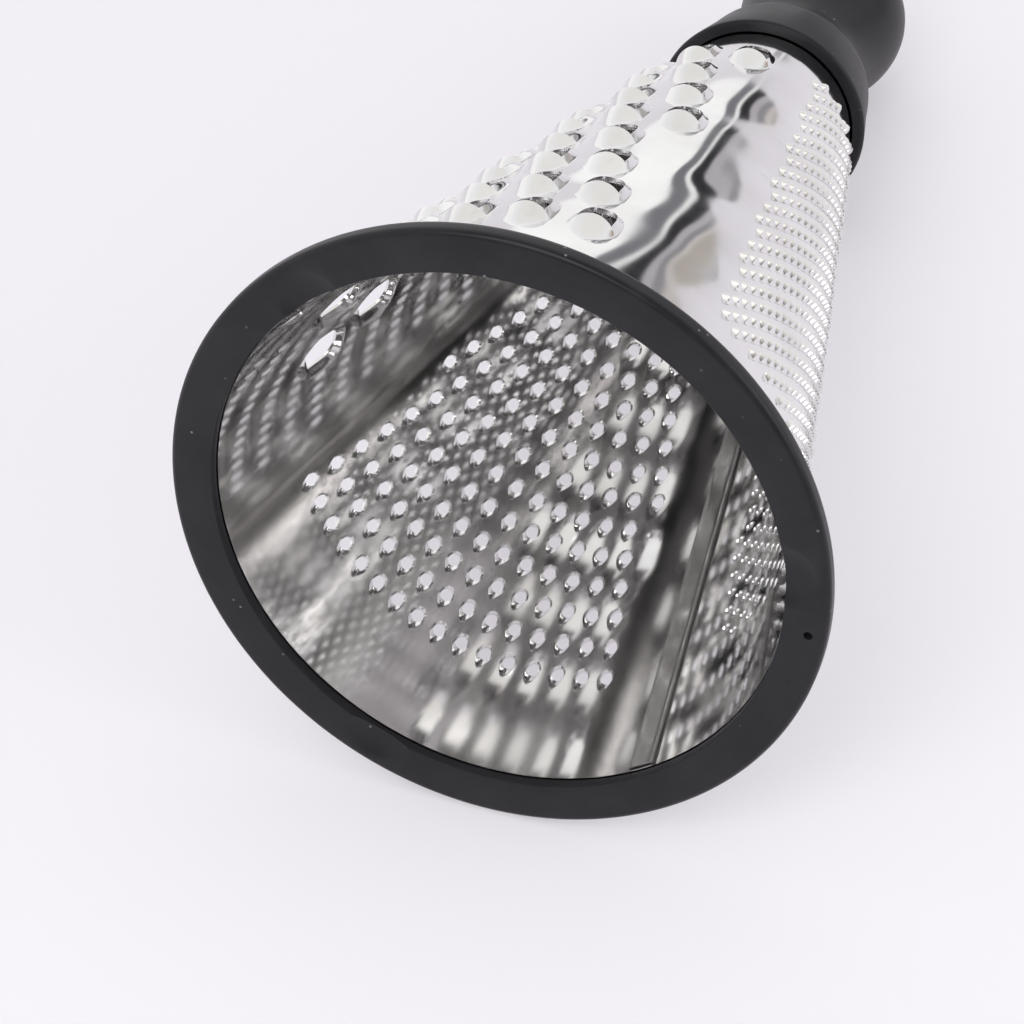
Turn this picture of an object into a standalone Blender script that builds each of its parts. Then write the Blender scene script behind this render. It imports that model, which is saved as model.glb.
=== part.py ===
"""Hand-held conical grater: a rolled steel cone with three grating zones, a base ring and a grip.

The cone stands on its base ring at z = 0 with its axis on Z. All sizes are in metres.
"""
import math

import bmesh
import bpy
from mathutils import Matrix, Vector

MM = 0.001
FIT_GAP = 0.3 * MM

# Steel sheet, rolled into a cone that is wide at the bottom
MOUTH_INNER_RADIUS = 51.8 * MM
CROWN_INNER_RADIUS = 16.8 * MM
SHEET_THICKNESS = 0.5 * MM
SHEET_TOP_Z = 180.0 * MM
CONE_STEPS = 42

# Lock seam, a folded strip along the inside of the sheet
SEAM_ANGLE = 80.0
SEAM_WIDTH = 5.0 * MM
SEAM_DEPTH = 0.9 * MM

# Grating zones: each fills the same arc, with plain bands between them
FINE_CENTRE = 20.0
MEDIUM_CENTRE = 140.6
COARSE_CENTRE = 257.4
ZONE_HALF_ARC = 44.4
ZONE_TOP_MARGIN = 22.0 * MM

# Medium zone: punched diamond holes in rows that lose one hole each, in groups of six rows
MEDIUM_FIRST_Z = 26.8 * MM
MEDIUM_HALF_ARC = 44.7
MEDIUM_PITCH = 4.86 * MM
MEDIUM_ROW_STEP = 7.95 * MM
MEDIUM_HOLE_RADIUS = 1.5 * MM
MEDIUM_GROUP_ROWS = 6

# Fine zone: small raised teeth in staggered rows. The steel has a row every 2.49 mm, and the
# solid has every second one, with slightly larger teeth.
FINE_FIRST_Z = 28.0 * MM
FINE_PITCH = 4.85 * MM
FINE_ROW_STEP = 4.98 * MM
FINE_ROW_SHIFT = 0.5
FINE_TOOTH_RADIUS = 1.4 * MM
FINE_TOOTH_HEIGHT = 1.0 * MM

# Coarse zone: raised scoops, each with a blade and a D-shaped opening behind it, towards the grip
COARSE_FIRST_Z = 31.9 * MM
COARSE_PITCH = 11.8 * MM
COARSE_ROW_STEP = 16.5 * MM
SCOOP_HALF_WIDTH = 4.6 * MM
SCOOP_HEIGHT = 2.6 * MM
SCOOP_SHOULDER_HEIGHT = 1.5 * MM
SCOOP_BACK_HEIGHT = 1.2 * MM
SCOOP_RAMP_LENGTH = 6.5 * MM
SCOOP_BACK_LENGTH = 2.1 * MM
SCOOP_WALL = 0.5 * MM
OPENING_HALF_WIDTH = 3.1 * MM
OPENING_LENGTH = 7.6 * MM
OPENING_STEPS = 4

# Base ring, moulded round the sheet's lower edge
RING_WIDTH = 7.69 * MM
RING_HEIGHT = 4.6 * MM
RING_LIP_HEIGHT = 2.0 * MM
RING_LIP_COVER = 0.2 * MM
RING_ROUNDING = 2.2 * MM
RING_FACE_ROUNDING = 1.2 * MM
RING_STEPS = 60

# Thumb dishes in the ring's lower face, and one gate pit
DISH_COUNT = 3
DISH_FIRST_ANGLE = 16.0
DISH_HALF_WIDTH = 6.0 * MM
DISH_DEPTH = 1.1 * MM
PIT_ANGLE = 28.0
PIT_RADIUS = 0.8 * MM
PIT_DEPTH = 1.2 * MM
PIT_INSET = 3.2 * MM
DISH_SPHERE_STEPS = 28

# Grip, a hollow moulding that sits over the sheet's narrow end
GRIP_SKIRT_LENGTH = 14.0 * MM
GRIP_WALL = 2.4 * MM
GRIP_NECK_RADIUS = 14.0 * MM
GRIP_NECK_RISE = 15.0 * MM
GRIP_BULB_RADIUS = 18.5 * MM
GRIP_BULB_RISE = 38.0 * MM
GRIP_TOP_RISE = 54.0 * MM
GRIP_EDGE_CHAMFER = 0.9 * MM
GRIP_STEPS = 30
GRIP_CURVE_POINTS = 6
ARC_POINTS = 4

# Fixing inside the grip
BOSS_RADIUS = 6.4 * MM
INSERT_RADIUS = 3.6 * MM
INSERT_LENGTH = 12.0 * MM
SCREW_RADIUS = 2.0 * MM
SCREW_HEAD_RADIUS = 4.2 * MM
SCREW_HEAD_HEIGHT = 2.8 * MM
SCREW_RECESS_RADIUS = 1.5 * MM
SCREW_RECESS_DEPTH = 1.6 * MM
WASHER_RADIUS = 6.5 * MM
WASHER_THICKNESS = 1.0 * MM
PLATE_THICKNESS = 1.2 * MM
PLATE_RIM_HEIGHT = 5.0 * MM
PLATE_DROP = 11.0 * MM
SMALL_STEPS = 24

# Places and slopes that follow from the sizes above
SHEET_BOTTOM_Z = RING_LIP_HEIGHT + FIT_GAP
TAPER = (MOUTH_INNER_RADIUS - CROWN_INNER_RADIUS) / (SHEET_TOP_Z - SHEET_BOTTOM_Z)
HALF_ANGLE = math.atan(TAPER)
APEX_Z = SHEET_BOTTOM_Z + MOUTH_INNER_RADIUS / TAPER
WALL_RADIAL = SHEET_THICKNESS / math.cos(HALF_ANGLE)
RING_OUTER_RADIUS = MOUTH_INNER_RADIUS + WALL_RADIAL + RING_WIDTH
ZONE_TOP_Z = SHEET_TOP_Z - ZONE_TOP_MARGIN
PLATE_Z = SHEET_TOP_Z - PLATE_DROP
PLATE_TOP_Z = PLATE_Z + PLATE_THICKNESS
BOSS_BOTTOM_Z = PLATE_TOP_Z + FIT_GAP
INSERT_BOTTOM_Z = BOSS_BOTTOM_Z + FIT_GAP
WASHER_Z = PLATE_Z - FIT_GAP - WASHER_THICKNESS
SCREW_HEAD_TOP_Z = WASHER_Z - FIT_GAP
SCREW_TIP_Z = INSERT_BOTTOM_Z + INSERT_LENGTH

COLOURS = {
    "grating_cone": ((0.62, 0.61, 0.60), 0.12, 1.0),
    "base_ring": ((0.032, 0.031, 0.034), 0.5, 0.0),
    "grip": ((0.032, 0.031, 0.034), 0.45, 0.0),
    "top_plate": ((0.55, 0.55, 0.55), 0.25, 1.0),
    "screw_washer": ((0.60, 0.60, 0.61), 0.3, 1.0),
    "grip_screw": ((0.58, 0.58, 0.60), 0.3, 1.0),
    "threaded_insert": ((0.70, 0.52, 0.22), 0.3, 1.0),
}


def inner_radius(z):
    """Radius of the sheet's inside at a height."""
    return (APEX_Z - z) * TAPER


def outer_radius(z):
    """Radius of the sheet's outside at a height."""
    return inner_radius(z) + WALL_RADIAL


def clear_scene():
    """Remove every object, so that the model is built in an empty file."""
    for item in list(bpy.data.objects):
        bpy.data.objects.remove(item, do_unlink=True)


def make_collection(name):
    """Add a collection to the scene."""
    group = bpy.data.collections.new(name)
    bpy.context.scene.collection.children.link(group)
    return group


def make_material(name):
    """A plain Principled material with the part's colour, roughness and metallic value."""
    colour, roughness, metallic = COLOURS[name]
    material = bpy.data.materials.new(name)
    material.use_nodes = True
    shader = material.node_tree.nodes["Principled BSDF"]
    shader.inputs["Base Color"].default_value = (*colour, 1.0)
    shader.inputs["Roughness"].default_value = roughness
    shader.inputs["Metallic"].default_value = metallic
    return material


def object_from_bmesh(bm, name, group):
    """Turn a bmesh into a linked object."""
    mesh = bpy.data.meshes.new(name)
    bm.to_mesh(mesh)
    bm.free()
    item = bpy.data.objects.new(name, mesh)
    group.objects.link(item)
    return item


def finish_part(item):
    """Give a part its material and shade its round faces smooth."""
    item.data.materials.append(make_material(item.name))
    item.data.shade_smooth()
    item.data.set_sharp_from_angle(angle=math.radians(35))


def make_cutter(bm, name, group):
    """An object that only cuts or joins: drawn as wire and never rendered."""
    item = object_from_bmesh(bm, name, group)
    item.display_type = "WIRE"
    item.hide_render = True
    return item


def turned_part(name, profile, steps, group, closed):
    """Turn a profile of (radius, height) points about Z with a Screw modifier.

    The profile runs down its outer side, top to bottom.
    """
    mesh = bpy.data.meshes.new(name)
    item = bpy.data.objects.new(name, mesh)
    group.objects.link(item)
    bm = bmesh.new()
    points = [bm.verts.new((radius, 0.0, height)) for radius, height in profile]
    for first, second in zip(points, points[1:]):
        bm.edges.new((first, second))
    if closed:
        bm.edges.new((points[-1], points[0]))
    bm.to_mesh(mesh)
    bm.free()
    screw = item.modifiers.new("turn", "SCREW")
    screw.axis = "Z"
    screw.steps = steps
    screw.render_steps = steps
    screw.use_merge_vertices = True
    screw.merge_threshold = 0.00001
    screw.use_smooth_shade = True
    return item


def add_boolean(item, other, operation):
    """Cut, join or intersect with another object."""
    modifier = item.modifiers.new(other.name, "BOOLEAN")
    modifier.operation = operation
    modifier.solver = "EXACT"
    modifier.object = other


def arc_profile(centre, radius, start, end):
    """Points on an arc of a profile, between two angles in degrees."""
    points = []
    for index in range(ARC_POINTS):
        angle = math.radians(start + (end - start) * index / (ARC_POINTS - 1))
        points.append((centre[0] + radius * math.cos(angle), centre[1] + radius * math.sin(angle)))
    return points


def sheet_frame(angle, z):
    """Matrix on the sheet's outside: X round the cone, Y up its slope, Z outwards."""
    turn = math.radians(angle)
    radial = Vector((math.cos(turn), math.sin(turn), 0.0))
    around = Vector((-math.sin(turn), math.cos(turn), 0.0))
    up = (Vector((0.0, 0.0, 1.0)) - radial * TAPER).normalized()
    normal = around.cross(up)
    matrix = Matrix((around, up, normal)).transposed().to_4x4()
    matrix.translation = radial * outer_radius(z) + Vector((0.0, 0.0, z))
    return matrix


def row_heights(first_z, step):
    """Heights of the rows of a zone, a step apart along the slope."""
    rise = step * math.cos(HALF_ANGLE)
    count = int((ZONE_TOP_Z - first_z) / rise) + 1
    return [first_z + index * rise for index in range(count)]


def teeth_that_fit(z, pitch, half_arc=ZONE_HALF_ARC):
    """The most teeth that fit in a row."""
    return int(math.radians(2 * half_arc) * inner_radius(z) / pitch) + 1


def spread_row(z, pitch, count, centre):
    """Angles of a row's teeth, evenly about the zone's centre line."""
    step = math.degrees(pitch / inner_radius(z))
    return [(centre + (index - (count - 1) / 2) * step, z) for index in range(count)]


def medium_places():
    """Hole places: rows lose one hole each, and each group starts as full as fits."""
    places = []
    count = 0
    for row, z in enumerate(row_heights(MEDIUM_FIRST_Z, MEDIUM_ROW_STEP)):
        if row % MEDIUM_GROUP_ROWS == 0:
            count = teeth_that_fit(z, MEDIUM_PITCH, MEDIUM_HALF_ARC)
            count -= count % 2
        places += spread_row(z, MEDIUM_PITCH, count, MEDIUM_CENTRE)
        count -= 1
    return places


def coarse_places():
    """Scoop places: every row holds as many as fit, staggered by half a pitch from its neighbours."""
    places = []
    first = 0
    for row, z in enumerate(row_heights(COARSE_FIRST_Z, COARSE_ROW_STEP)):
        if row == 0:
            first = teeth_that_fit(z, COARSE_PITCH)
        count = teeth_that_fit(z, COARSE_PITCH)
        count -= (count - first - row) % 2
        places += spread_row(z, COARSE_PITCH, count, COARSE_CENTRE)
    return places


def fine_places():
    """Tooth places: a slanted lattice cut off at the zone's sides."""
    places = []
    for row, z in enumerate(row_heights(FINE_FIRST_Z, FINE_ROW_STEP)):
        reach = math.radians(ZONE_HALF_ARC) * inner_radius(z) + FINE_PITCH / 4
        offset = -row * FINE_ROW_SHIFT
        first = math.ceil(-reach / FINE_PITCH + offset)
        last = math.floor(reach / FINE_PITCH + offset)
        for index in range(first, last + 1):
            angle = FINE_CENTRE + math.degrees((index - offset) * FINE_PITCH / inner_radius(z))
            places.append((angle, z))
    return places


def medium_holes(group):
    """Square prisms through the sheet, one for each medium hole, as diamonds."""
    bm = bmesh.new()
    for angle, z in medium_places():
        bmesh.ops.create_cone(
            bm, cap_ends=True, segments=4, radius1=MEDIUM_HOLE_RADIUS, radius2=MEDIUM_HOLE_RADIUS,
            depth=4 * SHEET_THICKNESS, matrix=sheet_frame(angle, z),
        )
    return make_cutter(bm, "medium_holes", group)


def fine_teeth(group):
    """Three-sided points that stand on the sheet, one for each fine tooth."""
    bm = bmesh.new()
    sink = SHEET_THICKNESS / 2
    depth = FINE_TOOTH_HEIGHT + sink
    lift = Matrix.Translation((0.0, 0.0, depth / 2 - sink))
    turn = Matrix.Rotation(math.radians(-90), 4, "Z")
    for angle, z in fine_places():
        bmesh.ops.create_cone(
            bm, cap_ends=True, segments=3, radius1=FINE_TOOTH_RADIUS, radius2=0.0,
            depth=depth, matrix=sheet_frame(angle, z) @ lift @ turn,
        )
    return make_cutter(bm, "fine_teeth", group)


def scoop_point(angle, z, across, along, lift):
    """A point near the sheet's outside: distances round it, up its slope and off it, from a centre."""
    height = z + along * math.cos(HALF_ANGLE) + lift * math.sin(HALF_ANGLE)
    radius = outer_radius(z + along * math.cos(HALF_ANGLE)) + lift * math.cos(HALF_ANGLE)
    turn = math.radians(angle) + across / outer_radius(z)
    return Vector((radius * math.cos(turn), radius * math.sin(turn), height))


def add_hull(bm, points):
    """Add the smallest convex solid that holds some points."""
    verts = [bm.verts.new(point) for point in points]
    made = bmesh.ops.convex_hull(bm, input=verts)
    spare = [item for item in made["geom_interior"] + made["geom_unused"] if isinstance(item, bmesh.types.BMVert)]
    bmesh.ops.delete(bm, geom=list(set(spare)), context="VERTS")


def scoop_points(angle, z, wall, floor):
    """The corners of a scoop's hump, inside a wall, with its foot at a lift."""
    side = 1.3 * wall
    tip = wall * SCOOP_RAMP_LENGTH / SCOOP_HEIGHT - SCOOP_RAMP_LENGTH
    end = OPENING_LENGTH + SCOOP_BACK_LENGTH - side
    wide, back = SCOOP_HALF_WIDTH - side, 0.9 * SCOOP_HALF_WIDTH - side
    foot = [(0.0, tip)] + [
        (sign * across, along) for sign in (-1, 1)
        for across, along in ((wide, 0.0), (back, OPENING_LENGTH), (0.6 * back, end))
    ]
    points = [scoop_point(angle, z, across, along, floor) for across, along in foot]
    points.append(scoop_point(angle, z, 0.0, 0.0, SCOOP_HEIGHT - wall))
    shoulder = OPENING_HALF_WIDTH - wall / 2
    for sign in (-1, 1):
        points.append(scoop_point(angle, z, sign * shoulder, 0.0, SCOOP_SHOULDER_HEIGHT - wall))
        points.append(scoop_point(angle, z, sign * shoulder, OPENING_LENGTH, SCOOP_BACK_HEIGHT - wall))
    return points


def scoop_humps(name, wall, floor, group):
    """The humps of the coarse zone: the scoops themselves, or the hollows under them."""
    bm = bmesh.new()
    for angle, z in coarse_places():
        add_hull(bm, scoop_points(angle, z, wall, floor))
    bmesh.ops.recalc_face_normals(bm, faces=bm.faces[:])
    return make_cutter(bm, name, group)


def scoop_openings(group):
    """The D-shaped cut behind each blade: straight at the blade and round towards the grip."""
    bm = bmesh.new()
    for angle, z in coarse_places():
        points = []
        for index in range(OPENING_STEPS + 1):
            turn = math.pi * index / OPENING_STEPS
            across = math.copysign(abs(math.cos(turn)) ** 0.6, math.cos(turn)) * OPENING_HALF_WIDTH
            along = OPENING_LENGTH * math.sin(turn) ** 0.6
            for lift in (-3 * SHEET_THICKNESS, 2 * SCOOP_HEIGHT):
                points.append(scoop_point(angle, z, across, along, lift))
        add_hull(bm, points)
    bmesh.ops.recalc_face_normals(bm, faces=bm.faces[:])
    return make_cutter(bm, "scoop_openings", group)


def seam_strip(name, margin, group):
    """The folded lock seam, a strip along the sheet's inside, with a margin on its free sides."""
    bm = bmesh.new()
    bmesh.ops.create_cube(bm, size=2.0)
    across = [edge for edge in bm.edges if abs(edge.verts[0].co.x - edge.verts[1].co.x) > 1.0]
    bmesh.ops.subdivide_edges(bm, edges=across, cuts=1)
    for vert in bm.verts:
        z = SHEET_BOTTOM_Z if vert.co.z < 0 else SHEET_TOP_Z
        radius = inner_radius(z) + (WALL_RADIAL / 2 if vert.co.y > 0 else -SEAM_DEPTH - margin)
        angle = math.radians(SEAM_ANGLE) - vert.co.x * (SEAM_WIDTH / 2 + margin) / inner_radius(z)
        vert.co = (radius * math.cos(angle), radius * math.sin(angle), z)
    return make_cutter(bm, name, group)


def build_cone(parts, cutters):
    """The rolled sheet with its seam and its three grating zones."""
    profile = [
        (outer_radius(SHEET_TOP_Z), SHEET_TOP_Z),
        (outer_radius(SHEET_BOTTOM_Z), SHEET_BOTTOM_Z),
        (inner_radius(SHEET_BOTTOM_Z), SHEET_BOTTOM_Z),
        (inner_radius(SHEET_TOP_Z), SHEET_TOP_Z),
    ]
    cone = turned_part("grating_cone", profile, CONE_STEPS, parts, closed=True)
    add_boolean(cone, seam_strip("seam_strip", 0.0, cutters), "UNION")
    add_boolean(cone, fine_teeth(cutters), "UNION")
    humps = scoop_humps("scoop_humps", 0.0, -SHEET_THICKNESS / 2, cutters)
    hollows = scoop_humps("scoop_hollows", SCOOP_WALL, -2 * SHEET_THICKNESS, cutters)
    add_boolean(cone, humps, "UNION")
    add_boolean(cone, hollows, "DIFFERENCE")
    add_boolean(cone, scoop_openings(cutters), "DIFFERENCE")
    add_boolean(cone, medium_holes(cutters), "DIFFERENCE")
    return cone


def ring_profile():
    """Section of the base ring: rounded outside, a lip under the sheet and a sloping seat."""
    seat_low = outer_radius(RING_LIP_HEIGHT) + FIT_GAP
    seat_high = outer_radius(RING_HEIGHT) + FIT_GAP
    lip_radius = outer_radius(SHEET_BOTTOM_Z) - RING_LIP_COVER
    back = (RING_OUTER_RADIUS - RING_ROUNDING, RING_HEIGHT - RING_ROUNDING)
    front = (RING_OUTER_RADIUS - RING_FACE_ROUNDING, RING_FACE_ROUNDING)
    return (
        [(seat_high, RING_HEIGHT)]
        + arc_profile(back, RING_ROUNDING, 90, 0)
        + arc_profile(front, RING_FACE_ROUNDING, 0, -90)
        + [(lip_radius, 0.0), (lip_radius, RING_LIP_HEIGHT), (seat_low, RING_LIP_HEIGHT)]
    )


def ring_dishes(group):
    """Shallow round dishes, centred on the ring's inner edge."""
    bm = bmesh.new()
    sphere_radius = (DISH_HALF_WIDTH ** 2 + DISH_DEPTH ** 2) / (2 * DISH_DEPTH)
    reach = outer_radius(SHEET_BOTTOM_Z) - RING_LIP_COVER
    for index in range(DISH_COUNT):
        angle = math.radians(DISH_FIRST_ANGLE + index * 360 / DISH_COUNT)
        centre = (reach * math.cos(angle), reach * math.sin(angle), DISH_DEPTH - sphere_radius)
        bmesh.ops.create_uvsphere(
            bm, u_segments=DISH_SPHERE_STEPS, v_segments=DISH_SPHERE_STEPS, radius=sphere_radius,
            matrix=Matrix.Translation(centre),
        )
    return make_cutter(bm, "ring_dishes", group)


def ring_pit(group):
    """The small round gate pit in the ring's lower face."""
    bm = bmesh.new()
    angle = math.radians(PIT_ANGLE)
    radius = RING_OUTER_RADIUS - PIT_INSET
    bmesh.ops.create_cone(
        bm, cap_ends=True, segments=10, radius1=PIT_RADIUS, radius2=PIT_RADIUS, depth=2 * PIT_DEPTH,
        matrix=Matrix.Translation((radius * math.cos(angle), radius * math.sin(angle), 0.0)),
    )
    return make_cutter(bm, "ring_pit", group)


def build_ring(parts, cutters):
    """The moulded ring that the grater stands on."""
    ring = turned_part("base_ring", ring_profile(), RING_STEPS, parts, closed=True)
    add_boolean(ring, ring_dishes(cutters), "DIFFERENCE")
    add_boolean(ring, ring_pit(cutters), "DIFFERENCE")
    return ring


def swept_profile(start, end):
    """Points after the start of a smooth S between two points of a profile."""
    points = []
    for index in range(1, GRIP_CURVE_POINTS):
        share = index / (GRIP_CURVE_POINTS - 1)
        blend = (1 - math.cos(math.pi * share)) / 2
        points.append((start[0] + (end[0] - start[0]) * blend, start[1] + (end[1] - start[1]) * share))
    return points


def grip_outline():
    """Outside of the grip, from its top on the axis down to the skirt's edge."""
    skirt_z = SHEET_TOP_Z - GRIP_SKIRT_LENGTH
    skirt_radius = outer_radius(skirt_z) + FIT_GAP + GRIP_WALL
    shoulder = (outer_radius(SHEET_TOP_Z) + FIT_GAP + GRIP_WALL, SHEET_TOP_Z)
    neck = (GRIP_NECK_RADIUS, SHEET_TOP_Z + GRIP_NECK_RISE)
    bulb = (GRIP_BULB_RADIUS, SHEET_TOP_Z + GRIP_BULB_RISE)
    dome_height = GRIP_TOP_RISE - GRIP_BULB_RISE
    points = [(0.0, bulb[1] + dome_height)]
    for index in range(1, GRIP_CURVE_POINTS):
        angle = math.radians(90 * (1 - index / (GRIP_CURVE_POINTS - 1)))
        points.append((bulb[0] * math.cos(angle), bulb[1] + dome_height * math.sin(angle)))
    points += swept_profile(bulb, neck) + swept_profile(neck, shoulder)
    points.append((skirt_radius, skirt_z + GRIP_EDGE_CHAMFER))
    points.append((skirt_radius - GRIP_EDGE_CHAMFER, skirt_z))
    return points


def build_grip(parts):
    """The hollow grip with a skirt over the sheet and a boss down its middle."""
    skirt_z = SHEET_TOP_Z - GRIP_SKIRT_LENGTH
    shoulder_z = SHEET_TOP_Z + FIT_GAP
    ledge_radius = inner_radius(SHEET_TOP_Z) - GRIP_WALL
    cavity_radius = GRIP_NECK_RADIUS - GRIP_WALL
    roof_z = SHEET_TOP_Z + GRIP_BULB_RISE
    bore_radius = INSERT_RADIUS + FIT_GAP
    bore_end_z = INSERT_BOTTOM_Z + INSERT_LENGTH + SCREW_RADIUS
    inside = [
        (outer_radius(skirt_z) + FIT_GAP, skirt_z),
        (outer_radius(shoulder_z) + FIT_GAP, shoulder_z),
        (min(ledge_radius, cavity_radius), shoulder_z),
        (min(ledge_radius, cavity_radius), roof_z),
        (BOSS_RADIUS, roof_z),
        (BOSS_RADIUS, BOSS_BOTTOM_Z),
        (bore_radius, BOSS_BOTTOM_Z),
        (bore_radius, bore_end_z),
        (0.0, bore_end_z),
    ]
    return turned_part("grip", grip_outline() + inside, GRIP_STEPS, parts, closed=False)


def build_plate(parts, cutters):
    """The dished steel plate that wedges inside the sheet's narrow end, notched for the seam."""
    rim_low_z = PLATE_Z - PLATE_RIM_HEIGHT
    hole_radius = SCREW_RADIUS + FIT_GAP
    profile = [
        (inner_radius(PLATE_TOP_Z) - FIT_GAP, PLATE_TOP_Z),
        (inner_radius(rim_low_z) - FIT_GAP, rim_low_z),
        (inner_radius(rim_low_z) - FIT_GAP - PLATE_THICKNESS, rim_low_z),
        (inner_radius(PLATE_Z) - FIT_GAP - PLATE_THICKNESS, PLATE_Z),
        (hole_radius, PLATE_Z),
        (hole_radius, PLATE_TOP_Z),
    ]
    plate = turned_part("top_plate", profile, CONE_STEPS, parts, closed=True)
    add_boolean(plate, seam_strip("seam_notch", FIT_GAP, cutters), "DIFFERENCE")
    return plate


def build_washer(parts):
    """The flat washer under the screw's head."""
    hole_radius = SCREW_RADIUS + FIT_GAP
    top_z = WASHER_Z + WASHER_THICKNESS
    profile = [
        (WASHER_RADIUS, top_z), (WASHER_RADIUS, WASHER_Z), (hole_radius, WASHER_Z), (hole_radius, top_z),
    ]
    return turned_part("screw_washer", profile, SMALL_STEPS, parts, closed=True)


def build_insert(parts):
    """The brass insert in the grip's boss."""
    bore_radius = SCREW_RADIUS + FIT_GAP
    top_z = INSERT_BOTTOM_Z + INSERT_LENGTH
    profile = [
        (INSERT_RADIUS, top_z), (INSERT_RADIUS, INSERT_BOTTOM_Z),
        (bore_radius, INSERT_BOTTOM_Z), (bore_radius, top_z),
    ]
    return turned_part("threaded_insert", profile, SMALL_STEPS, parts, closed=True)


def build_screw(parts, cutters):
    """The screw that draws the plate and the grip together, with a hexagon recess."""
    head_bottom_z = SCREW_HEAD_TOP_Z - SCREW_HEAD_HEIGHT
    profile = [
        (0.0, SCREW_TIP_Z), (SCREW_RADIUS, SCREW_TIP_Z), (SCREW_RADIUS, SCREW_HEAD_TOP_Z),
        (SCREW_HEAD_RADIUS, SCREW_HEAD_TOP_Z), (SCREW_HEAD_RADIUS, head_bottom_z), (0.0, head_bottom_z),
    ]
    screw = turned_part("grip_screw", profile, SMALL_STEPS, parts, closed=False)
    bm = bmesh.new()
    bmesh.ops.create_cone(
        bm, cap_ends=True, segments=6, radius1=SCREW_RECESS_RADIUS, radius2=SCREW_RECESS_RADIUS,
        depth=2 * SCREW_RECESS_DEPTH, matrix=Matrix.Translation((0.0, 0.0, head_bottom_z)),
    )
    add_boolean(screw, make_cutter(bm, "screw_recess", cutters), "DIFFERENCE")
    return screw


def main():
    """Build every part of the grater."""
    clear_scene()
    parts = make_collection("conical_grater")
    cutters = make_collection("cutters")
    made = [
        build_cone(parts, cutters),
        build_ring(parts, cutters),
        build_grip(parts),
        build_plate(parts, cutters),
        build_washer(parts),
        build_insert(parts),
        build_screw(parts, cutters),
    ]
    for item in made:
        finish_part(item)


main()
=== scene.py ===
"""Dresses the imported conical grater: its perforated steel cone, base ring, grip and fixing.

Lengths are in metres in the CAD frame: the grater stands on its ring at z = 0, with its axis on Z.
"""

import logging
from collections.abc import Callable
from dataclasses import dataclass, field
from enum import Enum
from functools import cached_property
from math import atan, ceil, copysign, cos, floor, pi, radians, sin

import bmesh
import bpy
import numpy as np
from bmesh.types import BMEdge, BMesh, BMVert
from bpy.types import Material, Mesh, NodeSocket, NodeTree, Object
from mathutils import Matrix, Vector


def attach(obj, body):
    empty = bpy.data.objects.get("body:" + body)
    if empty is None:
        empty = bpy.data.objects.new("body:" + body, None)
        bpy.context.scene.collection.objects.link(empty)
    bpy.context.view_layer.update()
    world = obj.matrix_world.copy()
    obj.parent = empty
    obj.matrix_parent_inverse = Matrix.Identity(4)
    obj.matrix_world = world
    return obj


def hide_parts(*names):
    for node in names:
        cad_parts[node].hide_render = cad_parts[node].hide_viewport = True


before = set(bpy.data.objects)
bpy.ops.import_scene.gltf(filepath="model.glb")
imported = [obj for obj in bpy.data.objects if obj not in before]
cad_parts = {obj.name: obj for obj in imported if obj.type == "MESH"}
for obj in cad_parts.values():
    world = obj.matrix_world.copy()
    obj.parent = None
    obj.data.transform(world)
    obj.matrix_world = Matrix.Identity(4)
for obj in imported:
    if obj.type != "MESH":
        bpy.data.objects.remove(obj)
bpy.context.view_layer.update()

LOG = logging.getLogger("grater")
MM = 0.001
FIT_GAP = 0.3 * MM
MERGE = 1e-6
FLAT_RADIUS = 35 * MM
SHARP = 40.0

Pair = tuple[float, float]
Triple = tuple[float, float, float]
Profile = list[Pair]


@dataclass(frozen=True)
class ConeForm:
    """The rolled sheet's cone, with the CAD part's sizes."""

    mouth_radius: float = 51.8 * MM
    crown_radius: float = 16.8 * MM
    bottom_z: float = 2.3 * MM
    top_z: float = 180.0 * MM
    thickness: float = 0.5 * MM

    @property
    def taper(self) -> float:
        """How much the radius shrinks for each metre of height."""
        return (self.mouth_radius - self.crown_radius) / (self.top_z - self.bottom_z)

    @property
    def half_angle(self) -> float:
        """Angle between the wall and the axis, in radians."""
        return atan(self.taper)

    @property
    def wall(self) -> float:
        """The sheet's thickness, measured along the radius."""
        return self.thickness / cos(self.half_angle)

    def inner(self, z: float) -> float:
        """Radius of the sheet's inside at a height."""
        return self.mouth_radius - (z - self.bottom_z) * self.taper

    def outer(self, z: float) -> float:
        """Radius of the sheet's outside at a height."""
        return self.inner(z) + self.wall

    def place(self, flat: Vector) -> Vector:
        """Roll a point of the flat sheet on to the cone.

        Args:
            flat: x is the angle in radians times FLAT_RADIUS, y the height, z the lift off the outside.

        Returns:
            The point on the cone.
        """
        radius = self.outer(flat.y) + flat.z * cos(self.half_angle)
        return polar(radius, flat.x / FLAT_RADIUS, flat.y + flat.z * sin(self.half_angle))


CONE = ConeForm()


def polar(radius: float, turn: float, z: float) -> Vector:
    """A point at a distance and an angle in radians about the axis."""
    return Vector((radius * cos(turn), radius * sin(turn), z))


def flat_x(angle: float) -> float:
    """Where an angle in degrees lies across the flat sheet."""
    return radians(angle) * FLAT_RADIUS


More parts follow.
